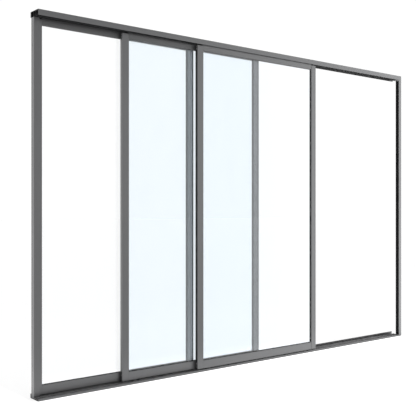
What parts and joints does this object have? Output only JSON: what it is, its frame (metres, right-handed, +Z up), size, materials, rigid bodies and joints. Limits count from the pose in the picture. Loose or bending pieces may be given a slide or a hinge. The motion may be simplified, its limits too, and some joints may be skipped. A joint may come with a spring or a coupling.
{
  "type": "sliding glass door",
  "caption": "Wide sliding glass door: framed panes that slide past each other on parallel tracks, in a dark grey aluminium frame open at one side.",
  "frame": {"origin": "underside of the sill rail, at the middle of its width, under the middle track", "axes": "+Z up, +X along the width to the right seen from the front, front faces -Y"},
  "size_m": [3.482, 0.104, 2.3],
  "materials": {
    "powder_coat": "satin powder coat",
    "track_steel": "drawn, dull",
    "glass": "clear",
    "gasket": "matte",
    "rubber": "matte",
    "nylon": "matte"
  },
  "bodies": {
    "frame": {"head_rail": "powder_coat", "sill_rail": "powder_coat", "front_track": "track_steel", "middle_track": "track_steel", "rear_track": "track_steel", "left_jamb": "powder_coat", "right_jamb": "powder_coat", "front_left_stop": "rubber", "middle_left_stop": "rubber", "middle_right_stop": "rubber", "rear_right_stop": "rubber"},
    "rear_panel": {"rear_left_stile": "powder_coat", "rear_right_stile": "powder_coat", "rear_stile_caps": "nylon", "rear_top_rail": "powder_coat", "rear_bottom_rail": "powder_coat", "rear_glass": "glass", "rear_gasket": "gasket", "rear_left_roller": "nylon", "rear_right_roller": "nylon"},
    "middle_panel": {"middle_left_stile": "powder_coat", "middle_right_stile": "powder_coat", "middle_stile_caps": "nylon", "middle_top_rail": "powder_coat", "middle_bottom_rail": "powder_coat", "middle_glass": "glass", "middle_gasket": "gasket", "middle_left_roller": "nylon", "middle_right_roller": "nylon"},
    "front_panel": {"front_left_stile": "powder_coat", "front_right_stile": "powder_coat", "front_stile_caps": "nylon", "front_top_rail": "powder_coat", "front_bottom_rail": "powder_coat", "front_glass": "glass", "front_gasket": "gasket", "front_left_roller": "nylon", "front_right_roller": "nylon"}
  },
  "joints": [
    {"name": "rear_slide", "type": "slide", "parent": "frame", "child": "rear_panel", "axis": [1, 0, 0], "range_m": [0, 2.243]},
    {"name": "middle_slide", "type": "slide", "parent": "frame", "child": "middle_panel", "axis": [1, 0, 0], "range_m": [-0.558, 1.65]},
    {"name": "front_slide", "type": "slide", "parent": "frame", "child": "front_panel", "axis": [1, 0, 0], "range_m": [-1.149, 1.094]}
  ]
}
